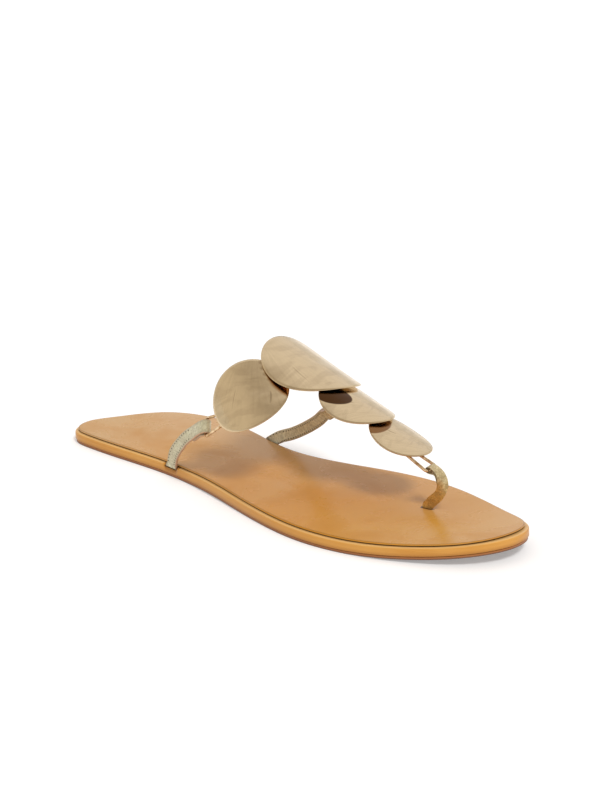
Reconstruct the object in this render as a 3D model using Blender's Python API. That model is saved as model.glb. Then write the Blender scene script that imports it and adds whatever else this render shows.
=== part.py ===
"""Flat toe-post sandal for the right foot.

A leather sole in three layers carries three leather straps. Each strap is folded round a wire
ring, and the rings are soldered under four bent metal discs that overlap like scales.
Metres. +X is the outer side of the foot, +Y the toe, +Z up. The origin is under the sole's middle.
"""
import math

import bmesh
import bpy
import numpy as np

# Sole
LENGTH = 0.2478
BALL_WIDTH = 0.0797
OUTSOLE_THICKNESS = 0.0011
MIDSOLE_THICKNESS = 0.0035
INSOLE_THICKNESS = 0.0008
OUTSOLE_INSET = 0.0004
INSOLE_INSET = 0.0014
MIDSOLE_ROUND = 0.0009
THIN_ROUND = 0.0003
TOE_SPRING = 0.0050
WAIST_RISE = 0.0004
SEAT_GAP = 0.0003

# Straps
LATERAL_STRAP_WIDTH = 0.0062
LATERAL_FOLD_WIDTH = 0.0058
MEDIAL_STRAP_WIDTH = 0.0055
MEDIAL_FOLD_WIDTH = 0.0055
POST_WIDTH = 0.0046
POST_FOLD_WIDTH = 0.0045
STRAP_THICKNESS = 0.0012
POST_THICKNESS = 0.0009
STRAP_UPRIGHT = 0.0008
STRAP_BEND = 0.00085
TAIL_LENGTH = 0.009
RETURN_LENGTH = 0.011
STRAP_CORNER = 0.0002
POST_DEPTH = 0.0016

# Metal
INSTEP_HEIGHT = 0.0551
TOP_DISC = 0.044
LATERAL_DISC = 0.035
THIRD_DISC = 0.033
TOE_DISC = 0.028
DISC_THICKNESS = 0.0005
RING_WIRE = 0.0013
RING_LENGTH = 0.014
RING_CORNER = 0.0010
SOLDER_DIAMETER = 0.0038
SOLDER_HEIGHT = 0.0004

# Fineness of the meshes
SOLE_STATIONS = 40
DISC_SIDES = 40
DISC_RINGS = 4
WIRE_SIDES = 8
STRAP_STEP = 0.0012
FOLD_STEPS = 8
BEND_STEPS = 4
SOLDER_SIDES = 12
EDGE_SPAN = 0.004
HANG_STEPS = 20

# The sole's outline seen from above, anticlockwise from the back of the heel.
# place, across (share of the ball width), along (share of the length)
OUTLINE = (
    ("heel back", 0.038, 0.012),
    ("heel back, outer", 0.188, 0.000),
    ("heel outer corner", 0.313, 0.021),
    ("heel outer, rear", 0.347, 0.071),
    ("heel outer side", 0.343, 0.145),
    ("waist outer side", 0.329, 0.299),
    ("waist to ball, outer", 0.389, 0.443),
    ("ball outer, rear", 0.475, 0.585),
    ("ball outer", 0.508, 0.695),
    ("little toe", 0.447, 0.809),
    ("fourth toe", 0.303, 0.910),
    ("toe tip, outer", 0.148, 0.973),
    ("toe tip", -0.046, 1.001),
    ("toe tip, inner", -0.247, 0.976),
    ("big toe", -0.376, 0.897),
    ("ball inner, front", -0.472, 0.788),
    ("ball inner", -0.490, 0.686),
    ("ball inner, rear", -0.411, 0.564),
    ("waist inner", -0.294, 0.425),
    ("waist inner, rear", -0.337, 0.306),
    ("heel inner side", -0.381, 0.166),
    ("heel inner corner", -0.241, 0.058),
)

# The underside's profile, in shares of the length: the waist rises over the first stretch and the
# toe springs over the second. The rest of the sole lies flat.
WAIST = (0.30, 0.56)
TOE = (0.766, 1.0)

# What stands on the sole: across (share of the ball width), along (share of the length)
PLACES = {
    "top disc": (-0.110, 0.520),
    "toe post": (-0.153, 0.7775),
}

# Discs. Bend is the radius in shares of the disc's own diameter. Azimuth runs from the outer side
# to the toe and elevation is up from level, both of the face; turn is the bend axis about the face.
# name, diameter, bend, azimuth, elevation, turn
DISCS = (
    ("disc_lateral", LATERAL_DISC, 0.99, 17.0, 47.0, -33.0),
    ("disc_top", TOP_DISC, 0.72, 117.0, 70.0, 6.0),
    ("disc_third", THIRD_DISC, 0.94, 112.0, 69.0, 10.0),
    ("disc_toe", TOE_DISC, 1.54, 114.0, 64.5, 20.0),
)
# Each lower disc hangs under an upper one. Ahead and aside place its middle beside the upper
# disc's, over the upper face, in shares of their mean diameter. The solder between them sits at a
# share of the way in from the upper disc's edge to the lower disc's.
# upper disc, lower disc, ahead, aside, way in
LAPS = (
    ("disc_top", "disc_lateral", -0.145, -0.688, 0.62),
    ("disc_top", "disc_third", 0.757, -0.033, 0.62),
    ("disc_third", "disc_toe", 0.788, 0.041, 0.62),
)

# Rings. Forward and sideways place the soldered bar on its disc, in shares of the disc's radius.
# Taper is the soldered bar's width in shares of the other bar's.
# disc, forward, sideways, the pull toward the strap (across, along, up), width of the fold, taper
RINGS = {
    "lateral": ("disc_lateral", 0.14, -0.77, (0.077, -0.875, -0.478), LATERAL_FOLD_WIDTH, 0.50),
    "medial": ("disc_third", -0.67, 0.24, (-0.270, -0.640, -0.720), MEDIAL_FOLD_WIDTH, 0.80),
    "toe": ("disc_toe", 0.38, -0.39, (-0.253, 0.847, -0.467), POST_FOLD_WIDTH, 0.65),
}

# Straps, from the sole up to the fold. Bulge is how far the middle line leaves the straight line
# from base to fold, in shares of the rise between them.
# rise (share), bulge across, bulge along
LATERAL_RUN = (
    (0.24, 0.030, -0.113),
    (0.47, 0.032, -0.148),
    (0.69, 0.028, -0.136),
    (0.85, 0.016, -0.078),
)
MEDIAL_RUN = (
    (0.12, -0.020, 0.014),
    (0.19, -0.038, 0.066),
    (0.32, -0.048, 0.117),
    (0.48, -0.031, 0.140),
    (0.65, -0.003, 0.127),
    (0.77, 0.015, 0.096),
)
POST_RUN = (
    (0.13, -0.012, 0.085),
    (0.33, -0.039, 0.263),
    (0.59, -0.068, 0.324),
    (0.80, -0.065, 0.249),
    (0.90, -0.050, 0.164),
)
# The last stretch lies in the ring's plane, in shares of the rise, and behind the fold the two
# layers close up over a stretch in shares of the fold's radius.
RING_STRETCH = (0.12, 3.0)

# Side straps. Side is 1 for the outer side and -1 for the inner one. Along is where the strap
# crosses the sole's edge, in shares of the length. Lean is its angle from upright, toward the toe.
# name, ring, side, along, lean, width, run
SIDE_STRAPS = (
    ("strap_lateral", "lateral", 1, 0.305, 30.0, LATERAL_STRAP_WIDTH, LATERAL_RUN),
    ("strap_medial", "medial", -1, 0.329, 58.0, MEDIAL_STRAP_WIDTH, MEDIAL_RUN),
)
POST_FACE = (0.97, 0.26, 0.0)

MATERIALS = {
    "outsole": ((0.075, 0.030, 0.016), 0.55, 0.0),
    "midsole": ((0.560, 0.270, 0.080), 0.42, 0.0),
    "insole": ((0.640, 0.360, 0.140), 0.38, 0.0),
    "strap": ((0.520, 0.460, 0.300), 0.35, 0.6),
    "wire": ((0.780, 0.600, 0.350), 0.20, 1.0),
    "disc": ((0.720, 0.580, 0.400), 0.32, 1.0),
}


def unit(vector):
    return vector / np.linalg.norm(vector)


def smooth_closed(points, per_span=24):
    """A periodic cubic spline through the points, by chord length."""
    count = len(points)
    chord = np.linalg.norm(np.roll(points, -1, 0) - points, axis=1)
    system = np.zeros((count, count))
    right = np.zeros((count, 2))
    for i in range(count):
        before = chord[i - 1]
        after = chord[i]
        nxt = (i + 1) % count
        system[i, i - 1] += before
        system[i, i] += 2.0 * (before + after)
        system[i, nxt] += after
        right[i] = 6.0 * ((points[nxt] - points[i]) / after - (points[i] - points[i - 1]) / before)
    bend = np.linalg.solve(system, right)
    curve = []
    for i in range(count):
        nxt = (i + 1) % count
        step = chord[i]
        for t in np.arange(per_span) / per_span:
            a = 1.0 - t
            straight = a * points[i] + t * points[nxt]
            sag = (a ** 3 - a) * bend[i] + (t ** 3 - t) * bend[nxt]
            curve.append(straight + sag * step * step / 6.0)
    return np.array(curve)


def smooth_open(points, step):
    """A natural cubic spline through 3-D points, resampled about every step."""
    chord = np.linalg.norm(np.diff(points, axis=0), axis=1)
    count = len(points)
    system = np.eye(count)
    right = np.zeros((count, 3))
    for i in range(1, count - 1):
        system[i, i - 1:i + 2] = (chord[i - 1], 2.0 * (chord[i - 1] + chord[i]), chord[i])
        rise = (points[i + 1] - points[i]) / chord[i] - (points[i] - points[i - 1]) / chord[i - 1]
        right[i] = 6.0 * rise
    bend = np.linalg.solve(system, right)
    curve = []
    for i in range(count - 1):
        pieces = max(1, round(chord[i] / step))
        for t in np.arange(pieces) / pieces:
            a = 1.0 - t
            sag = (a ** 3 - a) * bend[i] + (t ** 3 - t) * bend[i + 1]
            curve.append(a * points[i] + t * points[i + 1] + sag * chord[i] ** 2 / 6.0)
    curve.append(points[-1])
    return np.array(curve)


def sole_outline():
    """The outline at its real size, centred on the origin."""
    curve = smooth_closed(np.array([row[1:] for row in OUTLINE]) * (BALL_WIDTH, LENGTH))
    low = curve.min(0)
    high = curve.max(0)
    return (curve - (low + high) / 2.0) * (BALL_WIDTH, LENGTH) / (high - low)


def inset_curve(curve, inset):
    """The curve moved inward by inset. It runs anticlockwise, so inward is to the left."""
    along = np.roll(curve, -1, 0) - np.roll(curve, 1, 0)
    along /= np.linalg.norm(along, axis=1)[:, None]
    return curve + inset * np.stack((-along[:, 1], along[:, 0]), axis=1)


def lift(y):
    """How far the sole's underside stands off the ground at y."""
    share = y / LENGTH + 0.5
    height = 0.0
    if WAIST[0] < share < WAIST[1]:
        phase = (share - WAIST[0]) / (WAIST[1] - WAIST[0])
        height = WAIST_RISE * math.sin(math.pi * phase) ** 2
    if share > TOE[0]:
        height = TOE_SPRING * ((share - TOE[0]) / (TOE[1] - TOE[0])) ** 2
    return height


CURVE = sole_outline()


def side_points(curve, stations):
    """Outer and inner side of the curve at the given stations, from the heel to the toe."""
    curve = np.roll(curve, -int(np.argmin(curve[:, 1])), 0)
    tip = int(np.argmax(curve[:, 1]))
    outer = curve[:tip + 1]
    inner = np.vstack((curve[tip:], curve[:1]))[::-1]
    return np.interp(stations, outer[:, 1], outer[:, 0]), np.interp(stations, inner[:, 1], inner[:, 0])


def sole_ring(inset, height):
    """One level of a sole layer: up the outer side, down the inner side."""
    curve = inset_curve(CURVE, inset)
    phase = np.linspace(0.0, math.pi, SOLE_STATIONS + 1)
    low = curve[:, 1].min()
    high = curve[:, 1].max()
    stations = low + (high - low) * (1.0 - np.cos(phase)) / 2.0
    outer, inner = side_points(curve, stations)
    ring = [(outer[k], stations[k]) for k in range(SOLE_STATIONS + 1)]
    ring += [(inner[k], stations[k]) for k in range(SOLE_STATIONS - 1, 0, -1)]
    return [(x, y, height + lift(y)) for x, y in ring]


def round_levels(inset, thickness, base, lower_round, upper_round):
    """Inset and height of each level of a layer with rounded edges."""
    levels = [(inset + lower_round, base), (inset, base + lower_round)]
    for k in range(BEND_STEPS + 1):
        angle = 0.5 * math.pi * k / BEND_STEPS
        back = upper_round * (1.0 - math.cos(angle))
        levels.append((inset + back, base + thickness - upper_round * (1.0 - math.sin(angle))))
    return levels


def edge_at(side, along):
    """Edge point of the sole and its outward direction; side is 1 for outer and -1 for inner."""
    y = (along - 0.5) * LENGTH
    span = y + EDGE_SPAN * np.array((-0.5, 0.0, 0.5))
    outer, inner = side_points(CURVE, span)
    x = outer if side > 0 else inner
    along_edge = unit(np.array((x[2] - x[0], EDGE_SPAN, 0.0)))
    outward = side * np.array((along_edge[1], -along_edge[0], 0.0))
    return np.array((x[1], y, 0.0)), outward


def finish(name, verts, faces, material):
    """A closed mesh object with its faces out."""
    mesh = bpy.data.meshes.new(name)
    mesh.from_pydata([tuple(v) for v in verts], [], faces)
    work = bmesh.new()
    work.from_mesh(mesh)
    bmesh.ops.recalc_face_normals(work, faces=work.faces)
    bmesh.ops.triangulate(work, faces=work.faces)
    work.to_mesh(mesh)
    work.free()
    item = bpy.data.objects.new(name, mesh)
    bpy.context.scene.collection.objects.link(item)
    mesh.materials.append(material)
    mesh.shade_smooth()
    mesh.set_sharp_from_angle(angle=math.radians(35.0))
    return item


def make_material(name):
    colour, roughness, metallic = MATERIALS[name]
    material = bpy.data.materials.new(name)
    material.use_nodes = True
    shader = material.node_tree.nodes["Principled BSDF"]
    shader.inputs["Base Color"].default_value = (*colour, 1.0)
    shader.inputs["Roughness"].default_value = roughness
    shader.inputs["Metallic"].default_value = metallic
    return material


def ladder(offset, flip):
    """Faces that close a sole level with rungs straight across it."""
    last = 2 * SOLE_STATIONS
    faces = [(offset, offset + 1, offset + last - 1)]
    for k in range(1, SOLE_STATIONS - 1):
        faces.append((offset + k, offset + k + 1, offset + last - k - 1, offset + last - k))
    middle = SOLE_STATIONS
    faces.append((offset + middle - 1, offset + middle, offset + middle + 1))
    return [face[::-1] for face in faces] if flip else faces


def sole_layer(name, levels, material):
    """A sole layer through its levels, closed above and below."""
    verts = []
    faces = []
    ring_size = 2 * SOLE_STATIONS
    for inset, height in levels:
        verts += sole_ring(inset, height)
    for level in range(len(levels) - 1):
        start = level * ring_size
        for k in range(ring_size):
            nxt = (k + 1) % ring_size
            faces.append((start + k, start + nxt, start + ring_size + nxt, start + ring_size + k))
    faces += ladder(0, True)
    faces += ladder((len(levels) - 1) * ring_size, False)
    return finish(name, verts, faces, material)


def box_cutter(name, centre, axes, half):
    """A box turned to the given axes, which cuts and isn't part of the shoe."""
    corners = [(i, j, k) for i in (-1, 1) for j in (-1, 1) for k in (-1, 1)]
    verts = [centre + sum(c * h * a for c, h, a in zip(corner, half, axes)) for corner in corners]
    faces = [(0, 1, 3, 2), (4, 6, 7, 5), (0, 4, 5, 1), (2, 3, 7, 6), (0, 2, 6, 4), (1, 5, 7, 3)]
    cutter = finish(name, verts, faces, None)
    cutter.hide_render = True
    cutter.display_type = "WIRE"
    return cutter


def cut(item, cutter):
    modifier = item.modifiers.new(cutter.name, "BOOLEAN")
    modifier.operation = "DIFFERENCE"
    modifier.solver = "EXACT"
    modifier.object = cutter


class Disc:
    """A round plate bent about one axis: forward and sideways are measured over its face."""

    def __init__(self, name, diameter, bend, azimuth, elevation, turn):
        self.name = name
        self.diameter = diameter
        self.radius = bend * diameter
        across, along = PLACES["top disc"]
        self.centre = np.array((across * BALL_WIDTH, (along - 0.5) * LENGTH, INSTEP_HEIGHT))
        level = math.cos(math.radians(elevation))
        self.normal = np.array((
            level * math.cos(math.radians(azimuth)),
            level * math.sin(math.radians(azimuth)),
            math.sin(math.radians(elevation))))
        toeward = np.array((0.0, 1.0, 0.0))
        straight = unit(toeward - self.normal * (toeward @ self.normal))
        aside = np.cross(self.normal, straight)
        self.forward = math.cos(math.radians(turn)) * straight + math.sin(math.radians(turn)) * aside
        self.sideways = np.cross(self.normal, self.forward)

    def face(self, sideways):
        """Outward direction of the bent face at a distance sideways of the middle."""
        angle = sideways / self.radius
        return math.cos(angle) * self.normal + math.sin(angle) * self.sideways

    def point(self, forward, sideways, above=0.0):
        """A point over the mid surface, at a height above it."""
        reach = self.radius * (self.face(sideways) - self.normal)
        return self.centre + forward * self.forward + reach + above * self.face(sideways)

    def height(self, place):
        """Height of a place over the mid surface."""
        offset = place - self.centre
        rise = offset @ self.normal + self.radius
        return math.hypot(offset @ self.sideways, rise) - self.radius

    def plate(self, name, middle, diameter, low, high, rings, sides, material):
        """A round piece of plate on this disc's bend, between two heights."""
        verts = []
        faces = []
        for above in (low, high):
            verts.append(self.point(*middle, above))
            for ring in range(1, rings + 1):
                reach = 0.5 * diameter * ring / rings
                for k in range(sides):
                    angle = 2.0 * math.pi * k / sides
                    place = (middle[0] + reach * math.cos(angle), middle[1] + reach * math.sin(angle))
                    verts.append(self.point(*place, above))
        skin = 1 + rings * sides
        for layer, flip in ((0, True), (skin, False)):
            for k in range(sides):
                nxt = (k + 1) % sides
                shapes = [(layer, layer + 1 + k, layer + 1 + nxt)]
                for ring in range(rings - 1):
                    inner = layer + 1 + ring * sides
                    outer = inner + sides
                    shapes.append((inner + k, outer + k, outer + nxt, inner + nxt))
                faces += [shape[::-1] for shape in shapes] if flip else shapes
        rim = 1 + (rings - 1) * sides
        for k in range(sides):
            nxt = (k + 1) % sides
            faces.append((rim + k, rim + nxt, skin + rim + nxt, skin + rim + k))
        return finish(name, verts, faces, material)


class Lap:
    """Where an upper disc laps a lower one, with a spot of solder in the gap between them."""

    def __init__(self, upper, lower, ahead, aside, way_in):
        self.upper = upper
        self.lower = lower
        self.way_in = way_in
        self.near = DISC_THICKNESS / 2.0 + SEAT_GAP
        mean = (upper.diameter + lower.diameter) / 2.0
        beside = upper.centre + mean * (ahead * upper.forward + aside * upper.sideways)
        drop = 0.0
        for _ in range(HANG_STEPS):
            lower.centre = beside - drop * upper.normal
            drop += SOLDER_HEIGHT + 2.0 * self.near - self.gap()

    def middle(self):
        """The solder's place on the lower disc."""
        toward = self.upper.centre - self.lower.centre
        forward = toward @ self.lower.forward
        sideways = toward @ self.lower.sideways
        distance = math.hypot(forward, sideways)
        edge = distance - self.upper.diameter / 2.0
        reach = edge + self.way_in * (self.lower.diameter / 2.0 - edge)
        return reach * forward / distance, reach * sideways / distance

    def gap(self):
        """The smallest gap between the discs' middle surfaces round the solder."""
        forward, sideways = self.middle()
        half = SOLDER_DIAMETER / 2.0
        turn = 2.0 * math.pi / SOLDER_SIDES
        return min(
            -self.upper.height(self.lower.point(
                forward + half * math.cos(turn * k), sideways + half * math.sin(turn * k)))
            for k in range(SOLDER_SIDES))

    def build(self, material):
        name = "solder_" + self.lower.name
        top = self.near + SOLDER_HEIGHT
        self.lower.plate(name, self.middle(), SOLDER_DIAMETER, self.near, top, 1, SOLDER_SIDES, material)


class Ring:
    """A wire loop: its far bar is soldered under a disc and a strap folds round its near bar."""

    def __init__(self, disc, forward, sideways, pull, strap_width, taper):
        half = disc.diameter / 2.0
        under = -(DISC_THICKNESS / 2.0 + SEAT_GAP + RING_WIRE / 2.0)
        self.far = disc.point(forward * half, sideways * half, under)
        self.toward_disc = -unit(np.array(pull))
        self.near = self.far - RING_LENGTH * self.toward_disc
        self.bar = unit(np.cross(self.toward_disc, disc.face(sideways * half)))
        self.face = np.cross(self.bar, self.toward_disc)
        self.strap_width = strap_width
        self.width = strap_width + 4.0 * SEAT_GAP + RING_WIRE
        self.taper = taper

    def build(self, name, material):
        """A closed tube along a tapered rectangle with round corners."""
        middle = (self.far + self.near) / 2.0
        line = []
        for quarter in range(4):
            ahead = RING_LENGTH / 2.0 - RING_CORNER
            aside = self.width / 2.0 - RING_CORNER
            sign_ahead = (1, -1, -1, 1)[quarter]
            sign_aside = (1, 1, -1, -1)[quarter]
            for k in range(BEND_STEPS + 1):
                angle = 0.5 * math.pi * (quarter + k / BEND_STEPS)
                line.append((
                    sign_ahead * ahead + RING_CORNER * math.cos(angle),
                    sign_aside * aside + RING_CORNER * math.sin(angle)))
        line = np.array(line)
        line[:, 1] *= 1.0 - (1.0 - self.taper) * (line[:, 0] / RING_LENGTH + 0.5)
        count = len(line)
        verts = []
        for k in range(count):
            run = unit(line[(k + 1) % count] - line[k - 1])
            out = run[1] * self.toward_disc - run[0] * self.bar
            centre = middle + line[k][0] * self.toward_disc + line[k][1] * self.bar
            for side in range(WIRE_SIDES):
                angle = 2.0 * math.pi * side / WIRE_SIDES
                verts.append(centre + RING_WIRE / 2.0 * (math.cos(angle) * out + math.sin(angle) * self.face))
        faces = []
        for k in range(count):
            here = k * WIRE_SIDES
            there = (k + 1) % count * WIRE_SIDES
            for side in range(WIRE_SIDES):
                nxt = (side + 1) % WIRE_SIDES
                faces.append((here + side, here + nxt, there + nxt, there + side))
        return finish(name, verts, faces, material)


def strap_path(start, start_faces, run, ring, thickness, width):
    """Middle line, face directions and widths of a strap, from its hidden end to its fold's end.

    start holds the points up to the base, where the strap is free, and start_faces their faces.
    """
    base = start[-1]
    wrap = thickness / 2.0 + SEAT_GAP + RING_WIRE / 2.0
    top = ring.near + wrap * ring.face
    rise = top[2] - base[2]
    points = [base]
    for share, across, along in run:
        points.append(base + share * (top - base) + rise * np.array((across, along, 0.0)))
    points += [top - RING_STRETCH[0] * rise * ring.toward_disc, top]
    middle = smooth_open(np.array(points), STRAP_STEP)
    shares = np.linspace(0.0, 1.0, len(middle))[:, None]
    blend = shares * shares * (3.0 - 2.0 * shares)
    faces = (1.0 - blend) * start_faces[-1] + blend * ring.face
    line = list(start) + list(middle[1:])
    facing = list(start_faces) + list(faces[1:])
    free = len(line)
    for k in range(1, FOLD_STEPS + 1):
        angle = math.pi * k / FOLD_STEPS
        out = math.cos(angle) * ring.face + math.sin(angle) * ring.toward_disc
        line.append(ring.near + wrap * out)
        facing.append(out)
    widths = list(np.interp(np.arange(free), (len(start), free - 1), (width, ring.strap_width)))
    widths += [ring.strap_width] * FOLD_STEPS
    travelled = 0.0
    for k in range(free - 2, 0, -1):
        travelled += float(np.linalg.norm(line[k + 1] - line[k]))
        if travelled > RETURN_LENGTH:
            break
        ease = min(1.0, travelled / (RING_STRETCH[1] * wrap))
        ease = ease * ease * (3.0 - 2.0 * ease)
        offset = 2.0 * wrap + (thickness + SEAT_GAP - 2.0 * wrap) * ease
        tangent = unit(line[k + 1] - line[k - 1])
        out = unit(facing[k] - tangent * (facing[k] @ tangent))
        line.append(line[k] - offset * out)
        facing.append(-out)
        widths.append(widths[k])
    return np.array(line), np.array(facing), widths


def strip(name, line, facing, widths, thickness, material, slant=0.0, slanted=0):
    """A flat strip with broken corners along a line; the faces say which way it looks.

    Its first sections are cut at a slant, which fades out over as many again.
    """
    count = len(line)
    slants = np.interp(np.arange(count), (slanted, 2 * slanted + 1), (slant, 0.0))
    verts = []
    for k in range(count):
        tangent = unit(line[min(k + 1, count - 1)] - line[max(k - 1, 0)])
        out = unit(facing[k] - tangent * (facing[k] @ tangent))
        aside = np.cross(tangent, out) + slants[k] * tangent
        half_width = widths[k] / 2.0
        half = thickness / 2.0
        corner = STRAP_CORNER
        # eight corners of the section: aside, out
        for a, b in (
                (half_width - corner, half), (half_width, half - corner),
                (half_width, corner - half), (half_width - corner, -half),
                (corner - half_width, -half), (-half_width, corner - half),
                (-half_width, half - corner), (corner - half_width, half)):
            verts.append(line[k] + a * aside + b * out)
    faces = [tuple(range(7, -1, -1)), tuple(range(8 * count - 8, 8 * count))]
    for k in range(count - 1):
        for j in range(8):
            nxt = (j + 1) % 8
            faces.append((8 * k + j, 8 * k + nxt, 8 * k + 8 + nxt, 8 * k + 8 + j))
    return finish(name, verts, faces, material)


def side_strap(name, ring, side, along, lean, width, run, top_of_midsole, midsole, material):
    """A side strap: its tail lies in a pocket under the insole and it turns up at the sole's edge.

    The bend runs along the sole's edge and the strap crosses it at its lean.
    """
    edge, outward = edge_at(side, along)
    up = np.array((0.0, 0.0, 1.0))
    forward = side * np.cross(up, outward)
    slant = math.tan(math.radians(lean))
    height = top_of_midsole + lift(edge[1])
    low = height - STRAP_THICKNESS / 2.0
    axis = edge - outward * (STRAP_THICKNESS / 2.0 - SEAT_GAP + STRAP_BEND) + up * (low + STRAP_BEND)
    quarter = 0.5 * math.pi * STRAP_BEND
    start = []
    start_faces = []
    for share in (1.0, 0.5):
        tail = share * TAIL_LENGTH
        back = slant * (STRAP_UPRIGHT + quarter + tail)
        start.append(axis - outward * tail - up * STRAP_BEND - forward * back)
        start_faces.append(-up)
    for k in range(BEND_STEPS + 1):
        angle = 0.5 * math.pi * k / BEND_STEPS
        face = math.sin(angle) * outward - math.cos(angle) * up
        back = slant * (STRAP_UPRIGHT + quarter - STRAP_BEND * angle)
        start.append(axis + STRAP_BEND * face - forward * back)
        start_faces.append(face)
    start.append(axis + outward * STRAP_BEND + up * STRAP_UPRIGHT)
    start_faces.append(outward)
    path = strap_path(start, start_faces, run, ring, STRAP_THICKNESS, width)
    strip(name, *path, STRAP_THICKNESS, material, side * slant, len(start))

    half_width = (width / 2.0 + 3.0 * SEAT_GAP) * math.hypot(1.0, slant)
    inner_end = start[0] - SEAT_GAP * (outward + slant * forward)
    half_reach = 0.5 * (SEAT_GAP + TAIL_LENGTH + STRAP_BEND + 2.0 * STRAP_THICKNESS)
    centre = inner_end + half_reach * (outward + slant * forward)
    centre[2] = height
    cutter = box_cutter(
        name + "_pocket",
        centre,
        (outward + slant * forward, forward, up),
        (half_reach, half_width, STRAP_THICKNESS + SEAT_GAP))
    cut(midsole, cutter)


def toe_post(name, ring, top_of_insole, insole, midsole, material):
    """The toe post, which stands in a slot through the insole and a pocket in the midsole."""
    across, along = PLACES["toe post"]
    x = across * BALL_WIDTH
    y = (along - 0.5) * LENGTH
    up = np.array((0.0, 0.0, 1.0))
    slot = np.array((x, y, top_of_insole + lift(y)))
    face = unit(np.array(POST_FACE))
    base = slot + up * STRAP_UPRIGHT
    foot = slot - up * (INSOLE_THICKNESS + POST_DEPTH)
    path = strap_path([foot, slot, base], [face, face, face], POST_RUN, ring, POST_THICKNESS, POST_WIDTH)
    strip(name, *path, POST_THICKNESS, material)
    depth = INSOLE_THICKNESS + POST_DEPTH + SEAT_GAP
    cutter = box_cutter(
        name + "_slot",
        slot,
        (face, np.cross(up, face), up),
        (POST_THICKNESS / 2.0 + SEAT_GAP, POST_WIDTH / 2.0 + SEAT_GAP, depth))
    cut(insole, cutter)
    cut(midsole, cutter)


def main():
    for item in list(bpy.data.objects):
        bpy.data.objects.remove(item, do_unlink=True)
    look = {name: make_material(name) for name in MATERIALS}

    midsole_base = OUTSOLE_THICKNESS + SEAT_GAP
    midsole_top = midsole_base + MIDSOLE_THICKNESS
    insole_base = midsole_top + SEAT_GAP
    insole_top = insole_base + INSOLE_THICKNESS
    sole_layer(
        "outsole", round_levels(OUTSOLE_INSET, OUTSOLE_THICKNESS, 0.0, THIN_ROUND, THIN_ROUND),
        look["outsole"])
    midsole = sole_layer(
        "midsole", round_levels(0.0, MIDSOLE_THICKNESS, midsole_base, THIN_ROUND, MIDSOLE_ROUND),
        look["midsole"])
    insole = sole_layer(
        "insole", round_levels(INSOLE_INSET, INSOLE_THICKNESS, insole_base, THIN_ROUND, THIN_ROUND),
        look["insole"])

    discs = {row[0]: Disc(*row) for row in DISCS}
    for upper, lower, *place in LAPS:
        Lap(discs[upper], discs[lower], *place).build(look["wire"])
    half = DISC_THICKNESS / 2.0
    for name, disc in discs.items():
        disc.plate(name, (0.0, 0.0), disc.diameter, -half, half, DISC_RINGS, DISC_SIDES, look["disc"])

    rings = {}
    for name, (disc, *place) in RINGS.items():
        rings[name] = Ring(discs[disc], *place)
        rings[name].build("ring_" + name, look["wire"])
    for name, ring, *place in SIDE_STRAPS:
        side_strap(name, rings[ring], *place, midsole_top, midsole, look["strap"])
    toe_post("toe_post", rings["toe"], insole_top, insole, midsole, look["strap"])


main()
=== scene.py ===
"""Looks of the flat toe-post sandal: leather, metal, stitching, floor, light and camera.

Every shape starts from the frame's own solids: the sole's outline, the straps' sections and the
discs' bends are read from them, and finer pieces stand in the same places.
"""
import math

import bmesh
import bpy
import numpy as np
from mathutils import Matrix, Vector


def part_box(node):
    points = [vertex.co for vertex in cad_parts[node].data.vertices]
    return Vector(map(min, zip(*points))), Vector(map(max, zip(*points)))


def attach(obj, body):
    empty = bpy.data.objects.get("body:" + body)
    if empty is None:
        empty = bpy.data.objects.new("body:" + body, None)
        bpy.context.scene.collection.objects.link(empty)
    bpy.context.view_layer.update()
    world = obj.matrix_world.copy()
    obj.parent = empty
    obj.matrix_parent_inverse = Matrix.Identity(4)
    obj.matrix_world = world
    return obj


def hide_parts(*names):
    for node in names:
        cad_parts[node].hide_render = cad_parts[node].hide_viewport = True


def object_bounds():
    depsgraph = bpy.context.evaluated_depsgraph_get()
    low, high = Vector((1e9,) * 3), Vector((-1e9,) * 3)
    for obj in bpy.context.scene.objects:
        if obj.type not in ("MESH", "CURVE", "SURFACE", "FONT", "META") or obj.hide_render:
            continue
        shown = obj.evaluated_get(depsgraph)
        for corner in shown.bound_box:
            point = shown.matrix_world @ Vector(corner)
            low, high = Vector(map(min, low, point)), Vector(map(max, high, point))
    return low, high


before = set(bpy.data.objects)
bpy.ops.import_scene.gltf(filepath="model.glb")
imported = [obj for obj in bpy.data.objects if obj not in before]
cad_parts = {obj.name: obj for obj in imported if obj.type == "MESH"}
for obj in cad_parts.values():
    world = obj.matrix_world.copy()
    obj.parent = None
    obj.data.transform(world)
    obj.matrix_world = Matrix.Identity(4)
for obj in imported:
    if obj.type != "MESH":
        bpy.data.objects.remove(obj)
cad_low, cad_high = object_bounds()

UP = np.array((0.0, 0.0, 1.0))
scene = bpy.context.scene

# Reading
WELD_DISTANCE = 1e-6
FLAT_TOLERANCE = 1e-6

# Sole
SOLE_STATIONS = 150
SOLE_COLUMNS = 16
OUTLINE_POINTS = 1600
CLOSING_MARGIN = 6
WALL_SPAN = (0.2, 0.8)
HEEL_SHARE = 0.3
ROUND_STEPS = 6
OUTSOLE_ROUND = 0.0003
MIDSOLE_ROUND = 0.0009
INSOLE_ROUND = 0.00035
PAINTED_SHARE = 0.34
PAINTED_BORDER = 0.0003
TOE_START = 0.105
TOE_INSET = 0.0018
TOE_POWER = 4

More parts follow.
